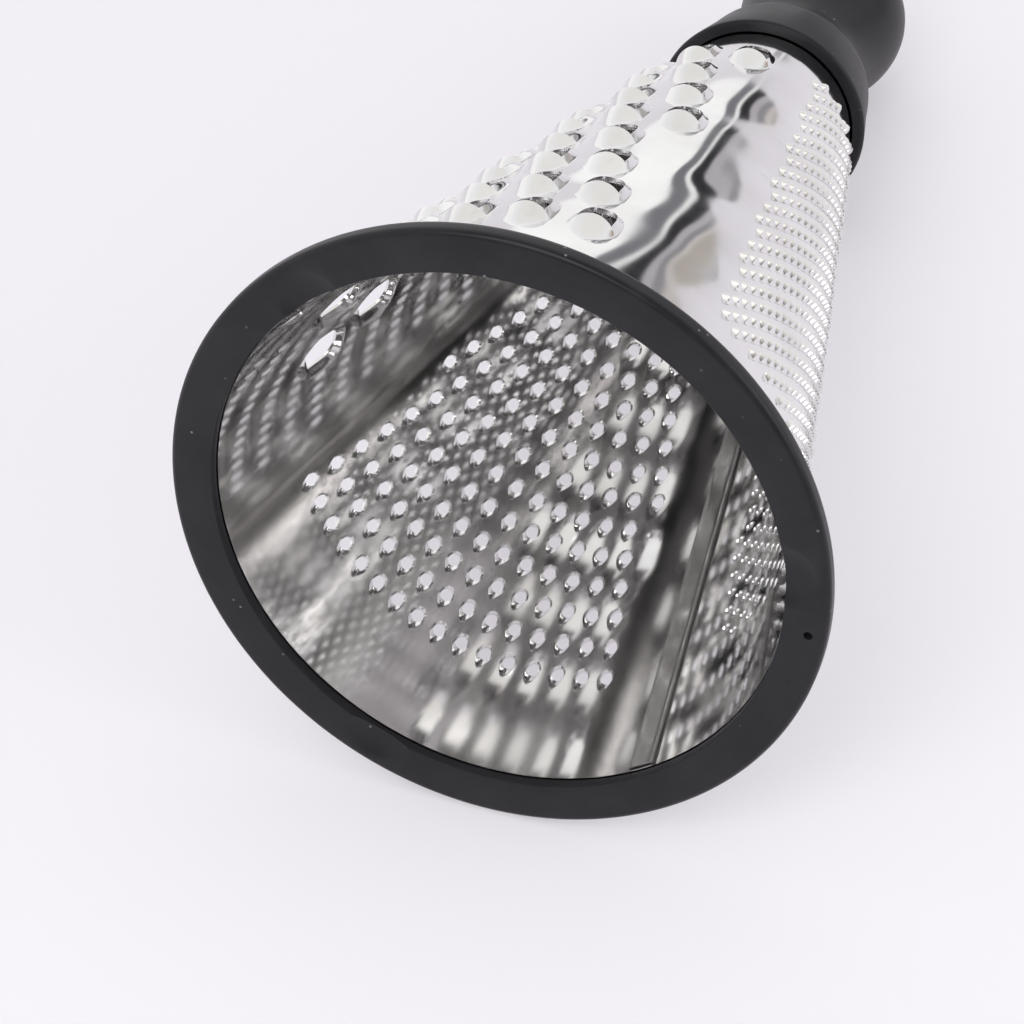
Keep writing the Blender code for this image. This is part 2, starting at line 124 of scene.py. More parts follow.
@dataclass(frozen=True)
class ToothForm:
    """One punched tooth: a hump pushed outwards, cut open behind its blade on the side towards the grip."""

    half_width: float
    blade: float
    shoulder: float
    far: float
    lip: float
    opening: float
    side: float
    ramp: float
    rim: float
    margin: float
    segments: int
    shares: tuple[float, ...]
    square: float = 1.0
    taper: float = 1.4
    keel: float = 2.0
    swell: float = 1.2
    slope: float = 1.4

    @property
    def below(self) -> float:
        """Reach of the tooth's cell towards the mouth."""
        return self.ramp + self.margin

    @property
    def above(self) -> float:
        """Reach of the tooth's cell towards the grip."""
        return self.opening + self.rim + self.margin

    def point(self, index: int, share: float) -> Triple:
        """A point of the tooth between its cut edge and its foot.

        Args:
            index: number of the segment, anticlockwise from the tooth's right.
            share: 0 on the cut edge and 1 on the foot.

        Returns:
            Distance across, distance up the slope and lift.
        """
        turn = 2 * pi * index / self.segments
        across, along = cos(turn), sin(turn)
        reach = abs(along)
        wide = self.half_width + self.side
        if along >= -1e-9:
            plan = copysign(abs(across) ** self.square, across)
            edge = (self.half_width * plan, self.opening * reach ** self.square)
            foot = (wide * plan, (self.opening + self.rim) * reach ** self.square)
            height = self.shoulder + (self.far - self.shoulder) * reach
        else:
            edge = (self.half_width * across, -self.lip * reach)
            foot = (wide * copysign(abs(across) ** self.taper, across), -self.ramp * reach ** self.taper)
            height = self.shoulder + (self.blade - self.shoulder) * (1 - abs(across) ** self.keel)
        return (
            edge[0] + (foot[0] - edge[0]) * share,
            edge[1] + (foot[1] - edge[1]) * share,
            height * (1 - share ** self.swell) ** self.slope,
        )

    def border(self, index: int, cell: "Cell") -> Pair:
        """The point of a cell's border that lies opposite a segment.

        Args:
            index: number of the segment.
            cell: the tooth's cell.

        Returns:
            Place across the flat sheet, and height.
        """
        side, step = divmod((index + self.segments // 8) % self.segments, self.segments // 4)
        share = step / (self.segments // 4)
        wide, tall = cell.right - cell.left, cell.high - cell.low
        return (
            (cell.right, cell.low + tall * share),
            (cell.right - wide * share, cell.high),
            (cell.left, cell.high - tall * share),
            (cell.left + wide * share, cell.low),
        )[side]


@dataclass(frozen=True)
class Cell:
    """The piece of flat sheet that one tooth takes."""

    angle: float
    z: float
    left: float
    right: float
    low: float
    high: float


def grid_key(value: float) -> int:
    """A coordinate as a whole number, so that equal ones match."""
    return round(value / (10 * MERGE))


def open_edges(bm: BMesh, axis: int) -> dict[int, list[BMEdge]]:
    """Find the boundary edges that run level in one coordinate.

    Args:
        bm: the mesh.
        axis: number of the coordinate.

    Returns:
        The edges, by that coordinate's key.
    """
    chains: dict[int, list[BMEdge]] = {}
    for edge in bm.edges:
        first, second = (vert.co[axis] for vert in edge.verts)
        if edge.is_boundary and abs(first - second) < MERGE:
            chains.setdefault(grid_key(first), []).append(edge)
    return chains


def rim_edges(bm: BMesh, levels: list[float]) -> list[BMEdge]:
    """The open edges that lie at any of some heights."""
    def level(vert: BMVert) -> bool:
        """Whether a corner lies at one of the heights."""
        return any(abs(vert.co.z - height) < MERGE for height in levels)

    return [edge for edge in bm.edges if edge.is_boundary and all(map(level, edge.verts))]


def make_mesh(bm: BMesh, name: str) -> Mesh:
    """Turn a bmesh into a mesh and free it.

    Args:
        bm: the bmesh.
        name: the mesh's name.

    Returns:
        The mesh.
    """
    mesh = bpy.data.meshes.new(name)
    bm.to_mesh(mesh)
    bm.free()
    return mesh


def absorb(bm: BMesh, other: BMesh) -> None:
    """Add another bmesh's geometry.

    Args:
        bm: the bmesh that grows.
        other: the one that is added and freed.
    """
    mesh = make_mesh(other, "absorbed")
    bm.from_mesh(mesh)
    bpy.data.meshes.remove(mesh)


def add_grid(bm: BMesh, columns: int, rows: int, place: Callable[[float, float], Vector]) -> None:
    """Add a grid whose points a function places.

    Args:
        bm: where the grid is added.
        columns: its steps across.
        rows: its steps along.
        place: gives the point for a share across and a share along.
    """
    for vert in bmesh.ops.create_grid(bm, x_segments=columns, y_segments=rows, size=1.0)["verts"]:
        vert.co = place((vert.co.x + 1) / 2, (vert.co.y + 1) / 2)


def add_band(bm: BMesh, columns: int, rows: int, across: Pair, along: Pair) -> None:
    """Add a plain rectangle of flat sheet.

    Args:
        bm: where it is added.
        columns: its steps across.
        rows: its steps along.
        across: where it starts and ends across the sheet.
        along: its lowest and highest heights.
    """
    (left, right), (low, high) = across, along
    add_grid(bm, columns, rows, lambda x, y: Vector((left + (right - left) * x, low + (high - low) * y, 0.0)))


def add_object(name: str, data: bpy.types.ID) -> Object:
    """Add an object to the scene.

    Args:
        name: the object's name.
        data: its mesh, lamp or camera.

    Returns:
        The object.
    """
    item = bpy.data.objects.new(name, data)
    bpy.context.scene.collection.objects.link(item)
    return item


class RowLayout(Enum):
    """How a zone's rows of teeth follow each other."""

    GROUPED = "each row loses a tooth, in groups that start full"
    STAGGERED = "each row as full as fits, by half a pitch"
    SLANTED = "a slanted lattice, cut off at the zone's sides"


@dataclass
class GratingZone:
    """One zone of teeth on the flat sheet."""

    name: str
    centre: float
    tooth: ToothForm
    first_z: float
    pitch: float
    row_step: float
    layout: RowLayout
    half_arc: float = 44.4
    side_arc: float = 58.75
    top_z: float = 158.0 * MM
    group_rows: int = 6
    slant: float = 0.0
    cell_reach: float = 1.0
    column: float = 3.6
    ends: Pair = (0.0, 0.0)

    def row_heights(self) -> list[float]:
        """Lay out the rows.

        Returns:
            Heights of the teeth's cut edges, from the mouth up.
        """
        rise = self.row_step * cos(CONE.half_angle)
        count = int((self.top_z - self.first_z) / rise) + 1
        return [self.first_z + index * rise for index in range(count)]

    def fitting(self, z: float) -> int:
        """The most teeth that fit in a row."""
        return int(radians(2 * self.half_arc) * CONE.inner(z) / self.pitch) + 1

    def offsets(self, row: int, z: float, count: int) -> list[float]:
        """Spread a row's teeth about the zone's centre line.

        Args:
            row: number of the row, from the mouth.
            z: its height.
            count: how many teeth it has; a slanted layout finds its own.

        Returns:
            Distances from the centre line, in pitches.
        """
        if self.layout is not RowLayout.SLANTED:
            return [index - (count - 1) / 2 for index in range(count)]
        reach = radians(self.half_arc) * CONE.outer(z) / self.pitch
        shift = row * self.slant
        first, last = ceil(-reach - shift), floor(reach - shift)
        return [index + shift for index in range(first, last + 1)]

    def rows(self) -> list[list[Cell]]:
        """Fill the zone with cells.

        Returns:
            The cells of every row, from the mouth up.
        """
        rows = []
        heights = self.row_heights()
        first = count = self.fitting(heights[0])
        for row, z in enumerate(heights):
            if self.layout is RowLayout.STAGGERED:
                count = self.fitting(z)
                count -= (count - first - row) % 2
            elif row % self.group_rows == 0:
                count = self.fitting(z) // 2 * 2
            rows.append(self.row_cells(z, self.offsets(row, z, count)))
            count -= 1
        return rows

    def row_cells(self, z: float, offsets: list[float]) -> list[Cell]:
        """The cells of one row, side by side.

        Args:
            z: height of the row's cut edges.
            offsets: distances from the centre line, in pitches.

        Returns:
            One cell for each tooth.
        """
        step = self.pitch / CONE.outer(z) * FLAT_RADIUS
        spots = [flat_x(self.centre) + offset * step for offset in offsets]
        edges = [(a + b) / 2 for a, b in zip(spots, spots[1:])]
        outside = self.cell_reach / CONE.outer(z) * FLAT_RADIUS
        edges = [spots[0] - outside] + edges + [spots[-1] + outside]
        rise = cos(CONE.half_angle)
        low, high = z - self.tooth.below * rise, z + self.tooth.above * rise
        return [
            Cell(spot, z, edges[index], edges[index + 1], low, high) for index, spot in enumerate(spots)
        ]

    def press_tooth(self, bm: BMesh, cell: Cell) -> None:
        """Add one cell of sheet with its tooth, as rings from the cut edge out to the cell's border.

        Args:
            bm: where it is added.
            cell: the tooth's cell.
        """
        tooth = self.tooth
        rings = len(tooth.shares)
        scale = FLAT_RADIUS / CONE.outer(cell.z)
        rise = cos(CONE.half_angle)
        verts = bmesh.ops.create_grid(bm, x_segments=tooth.segments, y_segments=rings, size=1.0)["verts"]
        for number, vert in enumerate(verts):
            ring, index = divmod(number, tooth.segments + 1)
            index %= tooth.segments
            if ring == rings:
                vert.co = (*tooth.border(index, cell), 0.0)
            else:
                across, along, lift = tooth.point(index, tooth.shares[ring])
                vert.co = (cell.angle + across * scale, cell.z + along * rise, lift)

    def build(self) -> BMesh:
        """Make the zone's piece of flat sheet: its rows, bridged to each other.

        Returns:
            The open mesh.
        """
        side_left, side_right = flat_x(self.centre - self.side_arc), flat_x(self.centre + self.side_arc)
        bm = bmesh.new()
        levels = []
        for cells in self.rows():
            row = bmesh.new()
            for cell in cells:
                self.press_tooth(row, cell)
            along = (cells[0].low, cells[0].high)
            for left, right in ((side_left, cells[0].left), (cells[-1].right, side_right)):
                columns = max(1, ceil((right - left) / flat_x(self.column)))
                add_band(row, columns, self.tooth.segments // 4, (left, right), along)
            bmesh.ops.remove_doubles(row, verts=row.verts[:], dist=MERGE)
            absorb(bm, row)
            levels += along
        chains = open_edges(bm, 1)
        for below, above in zip(levels[1:-1:2], levels[2::2]):
            bmesh.ops.bridge_loops(bm, edges=chains[grid_key(below)] + chains[grid_key(above)])
        self.ends = (levels[0], levels[-1])
        return bm


COARSE_TOOTH = ToothForm(
    half_width=3.13 * MM, blade=2.62 * MM, shoulder=1.45 * MM, far=1.0 * MM, lip=-0.36 * MM,
    opening=7.95 * MM, side=1.5 * MM, ramp=6.2 * MM, rim=1.5 * MM, margin=0.1 * MM, segments=32,
    shares=(0.0, 0.1, 0.25, 0.45, 0.7, 0.88, 1.0), square=0.61, taper=1.45, swell=1.15, slope=1.35,
)
MEDIUM_TOOTH = ToothForm(
    half_width=1.18 * MM, blade=1.2 * MM, shoulder=0.35 * MM, far=0.15 * MM, lip=0.5 * MM, opening=2.0 * MM,
    side=0.42 * MM, ramp=3.8 * MM, rim=0.4 * MM, margin=0.25 * MM, segments=24, shares=(0.0, 0.4, 0.8, 1.0),
    taper=1.35, keel=2.5, swell=1.0, slope=1.0,
)
FINE_TOOTH = ToothForm(
    half_width=0.95 * MM, blade=1.1 * MM, shoulder=0.45 * MM, far=0.3 * MM, lip=0.0, opening=0.45 * MM,
    side=0.4 * MM, ramp=1.5 * MM, rim=0.3 * MM, margin=0.08 * MM, segments=8, shares=(0.0, 0.5, 1.0),
    taper=1.2, swell=1.6, slope=1.0,
)


def zones() -> list[GratingZone]:
    """Set out the zones.

    Returns:
        The three zones, anticlockwise from the fine one.
    """
    return [
        GratingZone(
            "fine", 20.0, FINE_TOOTH, 28.6 * MM, 4.85 * MM, 2.49 * MM, RowLayout.SLANTED,
            half_arc=46.95, slant=0.457, cell_reach=2.42 * MM,
        ),
        GratingZone(
            "medium", 140.6, MEDIUM_TOOTH, 26.7 * MM, 4.86 * MM, 7.95 * MM, RowLayout.GROUPED,
            half_arc=45.0, cell_reach=2.43 * MM,
        ),
        GratingZone(
            "coarse", 257.4, COARSE_TOOTH, 31.55 * MM, 11.8 * MM, 16.5 * MM, RowLayout.STAGGERED,
            side_arc=57.0, cell_reach=5.4 * MM,
        ),
    ]


class Nodes:
    """A node tree, with short calls to add and join nodes."""

    def __init__(self, tree: NodeTree, coordinates: str) -> None:
        """Take a tree and the kind of coordinates that its patterns follow."""
        self.tree = tree
        self.coordinates = coordinates

    @cached_property
    def place(self) -> NodeSocket:
        """The coordinates that patterns follow."""
        return self.tree.nodes.new("ShaderNodeTexCoord").outputs[self.coordinates]

    def feed(self, target: NodeSocket, value: object) -> None:
        """Give an input its value.

        Args:
            target: the input.
            value: another node's output, or a constant; a colour without its alpha.
        """
        if isinstance(value, NodeSocket):
            self.tree.links.new(value, target)
        else:
            target.default_value = (*value, 1.0) if target.type == "RGBA" else value

    def add(
        self, kind: str, output: str | int, inputs: dict[str | int, object], **settings: object,
    ) -> NodeSocket:
        """Add a node.

        Args:
            kind: Blender's name for the node, without its first word.
            output: which of its outputs is wanted.
            inputs: what feeds its inputs, by name or number.
            settings: its properties.

        Returns:
            The output.
        """
        node = self.tree.nodes.new(f"ShaderNode{kind}")
        for key, value in settings.items():
            setattr(node, key, value)
        for key, value in inputs.items():
            self.feed(node.inputs[key], value)
        return node.outputs[output]

    def stretch(self, scale: Triple) -> NodeSocket:
        """Coordinates, scaled along each axis."""
        return self.add("Mapping", "Vector", {"Scale": scale, "Vector": self.place})

    def noise(
        self, scale: float, detail: float = 3.0, rough: float = 0.55, vector: NodeSocket | None = None,
    ) -> NodeSocket:
        """Noise from 0 to 1."""
        inputs = {"Scale": scale, "Detail": detail, "Roughness": rough, "Vector": vector or self.place}
        return self.add("TexNoise", "Fac", inputs)

    def dot(self, first: NodeSocket, second: NodeSocket | Vector) -> NodeSocket:
        """The scalar product of two directions."""
        return self.add("VectorMath", "Value", {0: first, 1: second}, operation="DOT_PRODUCT")

    def outside(self, least: float) -> NodeSocket:
        """1 where a surface round the Z axis faces outwards, and a least value where it faces the axis."""
        normal = self.add("NewGeometry", "Normal", {})
        return self.ramp(self.dot(normal, self.stretch((1.0, 1.0, 0.0))), -2 * MM, 8 * MM, least, 1.0)

    def specks(self, scale: float, size: float) -> NodeSocket:
        """Small round specks: 1 inside a speck and 0 outside."""
        distance = self.add("TexVoronoi", "Distance", {"Scale": scale, "Vector": self.place})
        return self.ramp(distance, size * 1.3, size)

    def ramp(
        self, source: NodeSocket, low: float, high: float, to_low: float = 0.0, to_high: float = 1.0,
        **settings: object,
    ) -> NodeSocket:
        """Map one range to another, clamped."""
        inputs = {"Value": source, "From Min": low, "From Max": high, "To Min": to_low, "To Max": to_high}
        return self.add("MapRange", "Result", inputs, **settings)

    def times(self, first: NodeSocket, second: NodeSocket | float) -> NodeSocket:
        """The product of two values."""
        return self.add("Math", "Value", {0: first, 1: second}, operation="MULTIPLY")

    def blend(self, share: NodeSocket, first: Triple | NodeSocket, second: Triple | NodeSocket) -> NodeSocket:
        """A colour between two, by a share from 0 to 1."""
        return self.add("Mix", 2, {"Factor": share, 6: first, 7: second}, data_type="RGBA")

    def bump(
        self, height: NodeSocket, strength: float, distance: float, under: NodeSocket | None = None,
    ) -> NodeSocket:
        """A normal that follows a height, over another normal if one is given."""
        inputs = {"Strength": strength, "Distance": distance, "Height": height}
        return self.add("Bump", "Normal", inputs | ({"Normal": under} if under else {}))

    def choose(self, share: NodeSocket, first: NodeSocket, second: NodeSocket) -> NodeSocket:
        """A shader between two, by a share from 0 to 1."""
        return self.add("MixShader", "Shader", {"Fac": share, 1: first, 2: second})


class FinishNodes(Nodes):
    """The nodes of a new material with a Principled shader."""

    def __init__(self, name: str) -> None:
        """Start the material."""
        self.material = bpy.data.materials.new(name)
        self.material.use_nodes = True
        super().__init__(self.material.node_tree, "Object")
        self.shader = self.tree.nodes["Principled BSDF"]

    def dress(self, **values: object) -> None:
        """Feed the shader's inputs, which are named with a low line for each space."""
        for key, value in values.items():
            self.feed(self.shader.inputs[key.replace("_", " ")], value)


@dataclass(frozen=True)
class PolishedSteel:
    """Mirror-polished sheet: faint haze, rolling waves and fine scratches along the cone."""

    light: Triple = (0.82, 0.815, 0.81)
    dark: Triple = (0.74, 0.73, 0.725)
    haze: float = 55.0
    wave: float = 50.0
    wave_stretch: Triple = (1.0, 1.0, 0.5)
    wave_height: float = 1.6 * MM
    inner_share: float = 0.06
    scratch: float = 1400.0
    scratch_stretch: Triple = (1.0, 1.0, 0.04)

    def build(self) -> Material:
        """Make the material.

        Returns:
            The material.
        """
        nodes = FinishNodes("polished_steel")
        haze = nodes.noise(self.haze, 4.0)
        rolls = nodes.noise(self.wave, 1.0, 0.4, nodes.stretch(self.wave_stretch))
        waves = nodes.bump(nodes.times(rolls, nodes.outside(self.inner_share)), 1.0, self.wave_height)
        scratches = nodes.noise(self.scratch, 2.0, 0.6, nodes.stretch(self.scratch_stretch))
        nodes.dress(
            Metallic=1.0, Base_Color=nodes.blend(nodes.ramp(haze, 0.35, 0.7), self.light, self.dark),
            Roughness=nodes.ramp(haze, 0.3, 0.75, 0.05, 0.11),
            Normal=nodes.bump(scratches, 0.02, 0.02 * MM, waves),
        )
        return nodes.material


@dataclass(frozen=True)
class SatinSteel:
    """Plain pressed or turned metal with a fine grain and dull patches."""

    name: str
    light: Triple
    dark: Triple
    roughness: float = 0.28
    grain: Triple = (1.0, 1.0, 8.0)

    def build(self) -> Material:
        """Make the material.

        Returns:
            The material.
        """
        nodes = FinishNodes(self.name)
        patches = nodes.noise(180.0, 3.0)
        grain = nodes.noise(700.0, 3.0, 0.6, nodes.stretch(self.grain))
        nodes.dress(
            Metallic=1.0, Base_Color=nodes.blend(nodes.ramp(patches, 0.3, 0.7), self.light, self.dark),
            Roughness=nodes.ramp(patches, 0.3, 0.7, self.roughness - 0.06, self.roughness + 0.1),
            Normal=nodes.bump(grain, 0.15, 0.05 * MM),
        )
        return nodes.material


@dataclass(frozen=True)
class CharcoalPlastic:
    """Moulded charcoal plastic: fine spark grain, dull patches and a little pale dust."""

    base: Triple = (0.012, 0.0115, 0.014)
    worn: Triple = (0.021, 0.02, 0.023)
    dust: Triple = (0.3, 0.29, 0.29)

    def build(self) -> Material:
        """Make the material.

        Returns:
            The material.
        """
        nodes = FinishNodes("charcoal_plastic")
        patches = nodes.noise(70.0, 4.0, 0.6)
        grain = nodes.noise(2600.0, 2.0, 0.5)
        sparse = nodes.ramp(nodes.noise(110.0, 1.0), 0.58, 0.66, 0.0, 0.6)
        dust = nodes.times(nodes.specks(420.0, 0.09), sparse)
        colour = nodes.blend(nodes.ramp(patches, 0.35, 0.7), self.base, self.worn)
        nodes.dress(
            Specular_IOR_Level=0.25, Base_Color=nodes.blend(dust, colour, self.dust),
            Roughness=nodes.ramp(patches, 0.3, 0.7, 0.3, 0.42), Normal=nodes.bump(grain, 0.25, 0.04 * MM),
        )
        return nodes.material


class Finishes:
    """Every material of the object, made once."""

    def __init__(self) -> None:
        """Make the materials."""
        self.sheet = PolishedSteel().build()
        self.plastic = CharcoalPlastic().build()
        lengthwise = (1.0, 1.0, 0.03)
        self.seam = SatinSteel("seam_steel", (0.72, 0.71, 0.7), (0.42, 0.41, 0.4), 0.16, lengthwise).build()
        self.pressed = SatinSteel("pressed_steel", (0.6, 0.6, 0.6), (0.5, 0.495, 0.49)).build()
        self.fastener = SatinSteel("fastener_steel", (0.64, 0.64, 0.65), (0.52, 0.52, 0.53), 0.24).build()
        self.brass = SatinSteel("turned_brass", (0.72, 0.54, 0.24), (0.6, 0.43, 0.17), 0.26).build()


def make_piece(bm: BMesh, name: str, material: Material, sharp: float = SHARP) -> Object:
    """Turn a bmesh into a smooth-shaded piece at the origin.

    Args:
        bm: the piece's mesh, which is freed.
        name: the piece's name.
        material: its finish.
        sharp: edges that turn by more than this angle stay sharp, in degrees.

    Returns:
        The new object.
    """
    mesh = make_mesh(bm, name)
    mesh.materials.append(material)
    mesh.shade_smooth()
    mesh.set_sharp_from_angle(angle=radians(sharp))
    return add_object(name, mesh)


def settle(piece: Object, slot: str, *nodes: str) -> Object:
    """Let a piece ride on the grater's one body.

    Args:
        piece: the piece.
        slot: the name of its material slot, which is not used.
        nodes: the CAD nodes that it stands in for.

    Returns:
        The piece.
    """
    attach(piece, "root")
    if nodes:
        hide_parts(*nodes)
    return piece


def read(items: bpy.types.bpy_prop_collection, key: str, kind: type, width: int = 0) -> np.ndarray:
    """Read one property of every item.

    Args:
        items: a mesh's vertices, corners or faces.
        key: the property's name.
        kind: its type.
        width: how many numbers it has, or 0 where it is a single number.

    Returns:
        An array with a row for each item.
    """
    values = np.zeros(len(items) * max(width, 1), dtype=kind)
    items.foreach_get(key, values)
    return values.reshape(-1, width) if width else values


@dataclass
class GratingSheet:
    """The rolled, punched and polished steel sheet."""

    columns: int = 120
    plain_rows: int = 4
    low_ring_top: float = 20.5 * MM
    high_ring_bottom: float = 165.0 * MM
    zones: list[GratingZone] = field(default_factory=zones)

    def skin(self) -> BMesh:
        """Roll the sheet's outside, with every tooth.

        Returns:
            One open surface.
        """
        bm = bmesh.new()
        for zone in self.zones:
            absorb(bm, zone.build())
        chains = open_edges(bm, 0)
        sides = [
            [chains[grid_key(flat_x(zone.centre + sign * zone.side_arc))] for sign in (-1, 1)]
            for zone in self.zones
        ]
        for vert in bm.verts:
            vert.co = CONE.place(vert.co)
        for index, (_, right) in enumerate(sides):
            bmesh.ops.bridge_loops(bm, edges=right + sides[(index + 1) % len(sides)][0])
        rings = bmesh.new()
        for along in ((CONE.bottom_z, self.low_ring_top), (self.high_ring_bottom, CONE.top_z)):
            add_band(rings, self.columns, self.plain_rows, (0.0, flat_x(360.0)), along)
        for vert in rings.verts:
            vert.co = CONE.place(vert.co)
        bmesh.ops.remove_doubles(rings, verts=rings.verts[:], dist=MERGE)
        absorb(bm, rings)
        for end, ring in enumerate((self.low_ring_top, self.high_ring_bottom)):
            levels = [zone.ends[end] for zone in self.zones]
            bmesh.ops.bridge_loops(bm, edges=rim_edges(bm, levels) + rim_edges(bm, [ring]))
        bmesh.ops.recalc_face_normals(bm, faces=bm.faces[:])
        return bm

    @staticmethod
    def thicken(bm: BMesh) -> None:
        """Give the sheet its thickness, inwards across the cone's wall.

        Args:
            bm: the sheet's outside, which becomes a closed solid.
        """
        made = bmesh.ops.extrude_face_region(bm, geom=bm.faces[:], use_keep_orig=True)["geom"]
        slope = CONE.half_angle
        for vert in made:
            if isinstance(vert, BMVert):
                radial = Vector((vert.co.x, vert.co.y, 0.0)).normalized()
                vert.co -= (radial * cos(slope) + Vector((0.0, 0.0, sin(slope)))) * CONE.thickness
        bmesh.ops.recalc_face_normals(bm, faces=bm.faces[:])

    @staticmethod
    def polish(mesh: Mesh) -> None:
        """Give the plain parts of the sheet the exact normals of a cone, so that they reflect cleanly.

        Args:
            mesh: the sheet's mesh.
        """
        place = read(mesh.vertices, "co", float, 3)
        corner, starts = read(mesh.loops, "vertex_index", int), read(mesh.polygons, "loop_start", int)
        normals = read(mesh.corner_normals, "vector", float, 3)
        radius = np.hypot(place[:, 0], place[:, 1])
        off = (radius - (CONE.outer(0.0) - place[:, 2] * CONE.taper)) * cos(CONE.half_angle)
        on_wall = np.zeros(len(mesh.polygons), dtype=bool)
        for level in (0.0, -CONE.thickness):
            on_wall |= np.logical_and.reduceat(np.abs(off[corner] - level) < 5 * MERGE, starts)
        use = np.repeat(on_wall, read(mesh.polygons, "loop_total", int))
        exact = np.column_stack((
            place[:, :2] / radius[:, None] * cos(CONE.half_angle),
            np.full(len(radius), sin(CONE.half_angle)),
        ))[corner]
        facing = np.sign(np.sum(exact * normals, axis=1))[:, None]
        normals[use] = (exact * facing)[use]
        mesh.normals_split_custom_set(normals.tolist())

    def build(self, finishes: Finishes) -> Object:
        """Make the sheet.

        Args:
            finishes: the object's materials.

        Returns:
            The sheet.
        """
        bm = self.skin()
        self.thicken(bm)
        loose = sum(1 for edge in bm.edges if len(edge.link_faces) != 2)
        LOG.info("sheet volume %.6g, open edges %d", bm.calc_volume(signed=True), loose)
        piece = make_piece(bm, "grating_sheet", finishes.sheet)
        self.polish(piece.data)
        return settle(piece, "polished_steel", "grating_cone")


@dataclass
class LockSeam:
    """The folded seam along the sheet's inside, open at its ends."""

    angle: float = 80.0
    width: float = 5.0 * MM
    depth: float = 0.9 * MM
    wall: float = 0.32 * MM
    steps: int = 36
    rows: int = 24
    roundness: float = 0.55
    sink: float = 0.05 * MM

    def section(self, share: float, inset: float) -> Pair:
        """A point of the flattened fold's outline.

        Args:
            share: how far round the outline, from 0 to 1.
            inset: how deep in the fold's wall.

        Returns:
            Distance across the seam, and depth from the sheet's inside.
        """
        turn = 2 * pi * share
        across = copysign(abs(cos(turn)) ** self.roundness, cos(turn))
        deep = copysign(abs(sin(turn)) ** self.roundness, sin(turn))
        return (self.width / 2 - inset) * across, self.depth / 2 + (self.depth / 2 - inset) * deep

    def add_wall(self, bm: BMesh, inset: float) -> None:
        """Add one skin of the folded tube.

        Args:
            bm: where it is added.
            inset: how deep in the fold's wall.
        """
        def place(share: float, along: float) -> Vector:
            """A point of the skin, for a share round it and a share along the seam."""
            z = CONE.bottom_z + (CONE.top_z - CONE.bottom_z) * along
            across, deep = self.section(share % 1.0, inset)
            turn = radians(self.angle) + across / CONE.inner(z)
            return polar(CONE.inner(z) + self.sink - deep, turn, z)

        add_grid(bm, self.steps, self.rows, place)

    def build(self, finishes: Finishes) -> Object:
        """Make the seam.

        Args:
            finishes: the object's materials.

        Returns:
            The seam.
        """
        bm = bmesh.new()
        for inset in (0.0, self.wall):
            self.add_wall(bm, inset)
        bmesh.ops.remove_doubles(bm, verts=bm.verts[:], dist=MERGE)
        for z in (CONE.bottom_z, CONE.top_z):
            bmesh.ops.bridge_loops(bm, edges=rim_edges(bm, [z]))
        bmesh.ops.recalc_face_normals(bm, faces=bm.faces[:])
        return settle(make_piece(bm, "lock_seam", finishes.seam, 50.0), "polished_steel")


def arc(centre: Pair, radius: float, start: float, end: float, points: int) -> Profile:
    """Points of a profile on an arc, between two angles in degrees."""
    turns = [radians(start + (end - start) * index / (points - 1)) for index in range(points)]
    return [(centre[0] + radius * cos(turn), centre[1] + radius * sin(turn)) for turn in turns]


def turned(profile: Profile, steps: int, closed: bool = True) -> BMesh:
    """Spin a profile of (radius, height) points about Z.

    Args:
        profile: the section, in order.
        steps: lengths round the axis.
        closed: False where the profile begins and ends on the axis.

    Returns:
        The turned solid's mesh, with outward normals.
    """
    bm = bmesh.new()
    verts = [bm.verts.new((radius, 0.0, height)) for radius, height in profile]
    pairs = list(zip(verts, verts[1:])) + ([(verts[-1], verts[0])] if closed else [])
    edges = [bm.edges.new(pair) for pair in pairs]
    bmesh.ops.spin(
        bm, geom=verts + edges, cent=(0, 0, 0), axis=(0, 0, 1), dvec=(0, 0, 0), angle=2 * pi,
        steps=steps, use_merge=True, use_duplicate=False,
    )
    bmesh.ops.remove_doubles(bm, verts=bm.verts[:], dist=MERGE)
    bmesh.ops.recalc_face_normals(bm, faces=bm.faces[:])
    return bm


def carve(piece: Object, tools: list[Object]) -> None:
    """Cut tools out of a piece, then remove them.

    Args:
        piece: the piece.
        tools: what is cut out of it.
    """
    for tool in tools:
        cut = piece.modifiers.new(tool.name, "BOOLEAN")
        cut.operation = "DIFFERENCE"
        cut.solver = "EXACT"
        cut.object = tool
    graph = bpy.context.evaluated_depsgraph_get()
    mesh = bpy.data.meshes.new_from_object(piece.evaluated_get(graph))
    piece.modifiers.clear()
    old = piece.data
    piece.data = mesh
    bpy.data.meshes.remove(old)
    mesh.name = piece.name
    for tool in tools:
        bpy.data.objects.remove(tool)


